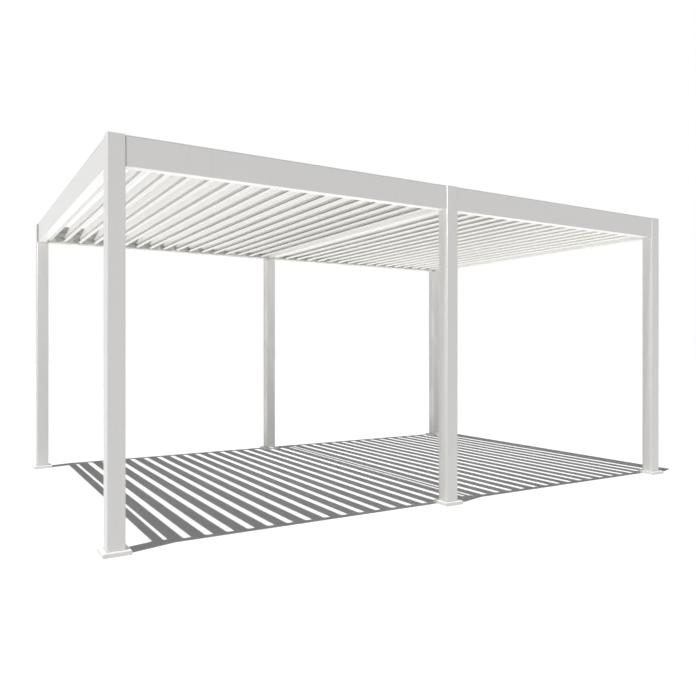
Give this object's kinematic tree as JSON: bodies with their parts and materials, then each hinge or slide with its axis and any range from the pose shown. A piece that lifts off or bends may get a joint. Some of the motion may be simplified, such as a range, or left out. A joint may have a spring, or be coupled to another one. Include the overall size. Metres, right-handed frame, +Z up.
{
  "type": "louvered pergola",
  "caption": "Free-standing white aluminium pergola of two bays, with square posts, box beams and a roof of tilting louver blades.",
  "frame": {"origin": "middle of the footprint at ground level", "axes": "+X right along the front, +Y from front to back, +Z up"},
  "size_m": [5.431, 3.702, 2.577],
  "materials": {
    "frame": "white powder coat, fine satin",
    "feet": "white powder coat, satin",
    "rails": "white powder coat, satin",
    "louvers": "white powder coat, fine satin"
  },
  "bodies": {
    "frame": {"post_front_left": "frame", "foot_front_left": "feet", "post_front_middle": "frame", "foot_front_middle": "feet", "post_front_right": "frame", "foot_front_right": "feet", "post_back_left": "frame", "foot_back_left": "feet", "post_back_middle": "frame", "foot_back_middle": "feet", "post_back_right": "frame", "foot_back_right": "feet", "beam_front_left": "frame", "beam_front_right": "frame", "beam_back_left": "frame", "beam_back_right": "frame", "beam_side_left": "frame", "beam_side_right": "frame", "beam_middle": "frame", "rail_front_left": "rails", "rail_front_right": "rails", "rail_back_left": "rails", "rail_back_right": "rails"},
    "louver_left_01": {"louver_left_01": "louvers"},
    "louver_left_02": {"louver_left_02": "louvers"},
    "louver_left_03": {"louver_left_03": "louvers"},
    "louver_left_04": {"louver_left_04": "louvers"},
    "louver_left_05": {"louver_left_05": "louvers"},
    "louver_left_06": {"louver_left_06": "louvers"},
    "louver_left_07": {"louver_left_07": "louvers"},
    "louver_left_08": {"louver_left_08": "louvers"},
    "louver_left_09": {"louver_left_09": "louvers"},
    "louver_left_10": {"louver_left_10": "louvers"},
    "louver_left_11": {"louver_left_11": "louvers"},
    "louver_left_12": {"louver_left_12": "louvers"},
    "louver_left_13": {"louver_left_13": "louvers"},
    "louver_left_14": {"louver_left_14": "louvers"},
    "louver_left_15": {"louver_left_15": "louvers"},
    "louver_left_16": {"louver_left_16": "louvers"},
    "louver_left_17": {"louver_left_17": "louvers"},
    "louver_right_01": {"louver_right_01": "louvers"},
    "louver_right_02": {"louver_right_02": "louvers"},
    "louver_right_03": {"louver_right_03": "louvers"},
    "louver_right_04": {"louver_right_04": "louvers"},
    "louver_right_05": {"louver_right_05": "louvers"},
    "louver_right_06": {"louver_right_06": "louvers"},
    "louver_right_07": {"louver_right_07": "louvers"},
    "louver_right_08": {"louver_right_08": "louvers"},
    "louver_right_09": {"louver_right_09": "louvers"},
    "louver_right_10": {"louver_right_10": "louvers"},
    "louver_right_11": {"louver_right_11": "louvers"},
    "louver_right_12": {"louver_right_12": "louvers"},
    "louver_right_13": {"louver_right_13": "louvers"},
    "louver_right_14": {"louver_right_14": "louvers"},
    "louver_right_15": {"louver_right_15": "louvers"},
    "louver_right_16": {"louver_right_16": "louvers"},
    "louver_right_17": {"louver_right_17": "louvers"}
  },
  "joints": [
    {"name": "louver_left_01_tilt", "type": "hinge", "parent": "frame", "child": "louver_left_01", "pos_m": [-2.54084, 0, 2.48332], "axis": [0, 1, 0], "range_deg": [-23, 64.5]},
    {"name": "louver_left_02_tilt", "type": "hinge", "parent": "frame", "child": "louver_left_02", "pos_m": [-2.38832, 0, 2.48332], "axis": [0, 1, 0], "range_deg": [-23, 64.5]},
    {"name": "louver_left_03_tilt", "type": "hinge", "parent": "frame", "child": "louver_left_03", "pos_m": [-2.2358, 0, 2.48332], "axis": [0, 1, 0], "range_deg": [-23, 64.5]},
    {"name": "louver_left_04_tilt", "type": "hinge", "parent": "frame", "child": "louver_left_04", "pos_m": [-2.08329, 0, 2.48332], "axis": [0, 1, 0], "range_deg": [-23, 64.5]},
    {"name": "louver_left_05_tilt", "type": "hinge", "parent": "frame", "child": "louver_left_05", "pos_m": [-1.93077, 0, 2.48332], "axis": [0, 1, 0], "range_deg": [-23, 64.5]},
    {"name": "louver_left_06_tilt", "type": "hinge", "parent": "frame", "child": "louver_left_06", "pos_m": [-1.77825, 0, 2.48332], "axis": [0, 1, 0], "range_deg": [-23, 64.5]},
    {"name": "louver_left_07_tilt", "type": "hinge", "parent": "frame", "child": "louver_left_07", "pos_m": [-1.62573, 0, 2.48332], "axis": [0, 1, 0], "range_deg": [-23, 64.5]},
    {"name": "louver_left_08_tilt", "type": "hinge", "parent": "frame", "child": "louver_left_08", "pos_m": [-1.47321, 0, 2.48332], "axis": [0, 1, 0], "range_deg": [-23, 64.5]},
    {"name": "louver_left_09_tilt", "type": "hinge", "parent": "frame", "child": "louver_left_09", "pos_m": [-1.3207, 0, 2.48332], "axis": [0, 1, 0], "range_deg": [-23, 64.5]},
    {"name": "louver_left_10_tilt", "type": "hinge", "parent": "frame", "child": "louver_left_10", "pos_m": [-1.16818, 0, 2.48332], "axis": [0, 1, 0], "range_deg": [-23, 64.5]},
    {"name": "louver_left_11_tilt", "type": "hinge", "parent": "frame", "child": "louver_left_11", "pos_m": [-1.01566, 0, 2.48332], "axis": [0, 1, 0], "range_deg": [-23, 64.5]},
    {"name": "louver_left_12_tilt", "type": "hinge", "parent": "frame", "child": "louver_left_12", "pos_m": [-0.86315, 0, 2.48332], "axis": [0, 1, 0], "range_deg": [-23, 64.5]},
    {"name": "louver_left_13_tilt", "type": "hinge", "parent": "frame", "child": "louver_left_13", "pos_m": [-0.71063, 0, 2.48332], "axis": [0, 1, 0], "range_deg": [-23, 64.5]},
    {"name": "louver_left_14_tilt", "type": "hinge", "parent": "frame", "child": "louver_left_14", "pos_m": [-0.55811, 0, 2.48332], "axis": [0, 1, 0], "range_deg": [-23, 64.5]},
    {"name": "louver_left_15_tilt", "type": "hinge", "parent": "frame", "child": "louver_left_15", "pos_m": [-0.40559, 0, 2.48332], "axis": [0, 1, 0], "range_deg": [-23, 64.5]},
    {"name": "louver_left_16_tilt", "type": "hinge", "parent": "frame", "child": "louver_left_16", "pos_m": [-0.25307, 0, 2.48332], "axis": [0, 1, 0], "range_deg": [-23, 64.5]},
    {"name": "louver_left_17_tilt", "type": "hinge", "parent": "frame", "child": "louver_left_17", "pos_m": [-0.10056, 0, 2.48332], "axis": [0, 1, 0], "range_deg": [-23, 64.5]},
    {"name": "louver_right_01_tilt", "type": "hinge", "parent": "frame", "child": "louver_right_01", "pos_m": [0.09296, 0, 2.48332], "axis": [0, 1, 0], "range_deg": [-23, 64.5]},
    {"name": "louver_right_02_tilt", "type": "hinge", "parent": "frame", "child": "louver_right_02", "pos_m": [0.24548, 0, 2.48332], "axis": [0, 1, 0], "range_deg": [-23, 64.5]},
    {"name": "louver_right_03_tilt", "type": "hinge", "parent": "frame", "child": "louver_right_03", "pos_m": [0.398, 0, 2.48332], "axis": [0, 1, 0], "range_deg": [-23, 64.5]},
    {"name": "louver_right_04_tilt", "type": "hinge", "parent": "frame", "child": "louver_right_04", "pos_m": [0.55051, 0, 2.48332], "axis": [0, 1, 0], "range_deg": [-23, 64.5]},
    {"name": "louver_right_05_tilt", "type": "hinge", "parent": "frame", "child": "louver_right_05", "pos_m": [0.70303, 0, 2.48332], "axis": [0, 1, 0], "range_deg": [-23, 64.5]},
    {"name": "louver_right_06_tilt", "type": "hinge", "parent": "frame", "child": "louver_right_06", "pos_m": [0.85555, 0, 2.48332], "axis": [0, 1, 0], "range_deg": [-23, 64.5]},
    {"name": "louver_right_07_tilt", "type": "hinge", "parent": "frame", "child": "louver_right_07", "pos_m": [1.00807, 0, 2.48332], "axis": [0, 1, 0], "range_deg": [-23, 64.5]},
    {"name": "louver_right_08_tilt", "type": "hinge", "parent": "frame", "child": "louver_right_08", "pos_m": [1.16058, 0, 2.48332], "axis": [0, 1, 0], "range_deg": [-23, 64.5]},
    {"name": "louver_right_09_tilt", "type": "hinge", "parent": "frame", "child": "louver_right_09", "pos_m": [1.3131, 0, 2.48332], "axis": [0, 1, 0], "range_deg": [-23, 64.5]},
    {"name": "louver_right_10_tilt", "type": "hinge", "parent": "frame", "child": "louver_right_10", "pos_m": [1.46562, 0, 2.48332], "axis": [0, 1, 0], "range_deg": [-23, 64.5]},
    {"name": "louver_right_11_tilt", "type": "hinge", "parent": "frame", "child": "louver_right_11", "pos_m": [1.61814, 0, 2.48332], "axis": [0, 1, 0], "range_deg": [-23, 64.5]},
    {"name": "louver_right_12_tilt", "type": "hinge", "parent": "frame", "child": "louver_right_12", "pos_m": [1.77066, 0, 2.48332], "axis": [0, 1, 0], "range_deg": [-23, 64.5]},
    {"name": "louver_right_13_tilt", "type": "hinge", "parent": "frame", "child": "louver_right_13", "pos_m": [1.92317, 0, 2.48332], "axis": [0, 1, 0], "range_deg": [-23, 64.5]},
    {"name": "louver_right_14_tilt", "type": "hinge", "parent": "frame", "child": "louver_right_14", "pos_m": [2.07569, 0, 2.48332], "axis": [0, 1, 0], "range_deg": [-23, 64.5]},
    {"name": "louver_right_15_tilt", "type": "hinge", "parent": "frame", "child": "louver_right_15", "pos_m": [2.22821, 0, 2.48332], "axis": [0, 1, 0], "range_deg": [-23, 64.5]},
    {"name": "louver_right_16_tilt", "type": "hinge", "parent": "frame", "child": "louver_right_16", "pos_m": [2.38073, 0, 2.48332], "axis": [0, 1, 0], "range_deg": [-23, 64.5]},
    {"name": "louver_right_17_tilt", "type": "hinge", "parent": "frame", "child": "louver_right_17", "pos_m": [2.53324, 0, 2.48332], "axis": [0, 1, 0], "range_deg": [-23, 64.5]}
  ],
  "couplings": [
    {"joint": "louver_left_02_tilt", "follows": "louver_left_01_tilt", "ratio": 1},
    {"joint": "louver_left_03_tilt", "follows": "louver_left_01_tilt", "ratio": 1},
    {"joint": "louver_left_04_tilt", "follows": "louver_left_01_tilt", "ratio": 1},
    {"joint": "louver_left_05_tilt", "follows": "louver_left_01_tilt", "ratio": 1},
    {"joint": "louver_left_06_tilt", "follows": "louver_left_01_tilt", "ratio": 1},
    {"joint": "louver_left_07_tilt", "follows": "louver_left_01_tilt", "ratio": 1},
    {"joint": "louver_left_08_tilt", "follows": "louver_left_01_tilt", "ratio": 1},
    {"joint": "louver_left_09_tilt", "follows": "louver_left_01_tilt", "ratio": 1},
    {"joint": "louver_left_10_tilt", "follows": "louver_left_01_tilt", "ratio": 1},
    {"joint": "louver_left_11_tilt", "follows": "louver_left_01_tilt", "ratio": 1},
    {"joint": "louver_left_12_tilt", "follows": "louver_left_01_tilt", "ratio": 1},
    {"joint": "louver_left_13_tilt", "follows": "louver_left_01_tilt", "ratio": 1},
    {"joint": "louver_left_14_tilt", "follows": "louver_left_01_tilt", "ratio": 1},
    {"joint": "louver_left_15_tilt", "follows": "louver_left_01_tilt", "ratio": 1},
    {"joint": "louver_left_16_tilt", "follows": "louver_left_01_tilt", "ratio": 1},
    {"joint": "louver_left_17_tilt", "follows": "louver_left_01_tilt", "ratio": 1},
    {"joint": "louver_right_02_tilt", "follows": "louver_right_01_tilt", "ratio": 1},
    {"joint": "louver_right_03_tilt", "follows": "louver_right_01_tilt", "ratio": 1},
    {"joint": "louver_right_04_tilt", "follows": "louver_right_01_tilt", "ratio": 1},
    {"joint": "louver_right_05_tilt", "follows": "louver_right_01_tilt", "ratio": 1},
    {"joint": "louver_right_06_tilt", "follows": "louver_right_01_tilt", "ratio": 1},
    {"joint": "louver_right_07_tilt", "follows": "louver_right_01_tilt", "ratio": 1},
    {"joint": "louver_right_08_tilt", "follows": "louver_right_01_tilt", "ratio": 1},
    {"joint": "louver_right_09_tilt", "follows": "louver_right_01_tilt", "ratio": 1},
    {"joint": "louver_right_10_tilt", "follows": "louver_right_01_tilt", "ratio": 1},
    {"joint": "louver_right_11_tilt", "follows": "louver_right_01_tilt", "ratio": 1},
    {"joint": "louver_right_12_tilt", "follows": "louver_right_01_tilt", "ratio": 1},
    {"joint": "louver_right_13_tilt", "follows": "louver_right_01_tilt", "ratio": 1},
    {"joint": "louver_right_14_tilt", "follows": "louver_right_01_tilt", "ratio": 1},
    {"joint": "louver_right_15_tilt", "follows": "louver_right_01_tilt", "ratio": 1},
    {"joint": "louver_right_16_tilt", "follows": "louver_right_01_tilt", "ratio": 1},
    {"joint": "louver_right_17_tilt", "follows": "louver_right_01_tilt", "ratio": 1}
  ]
}
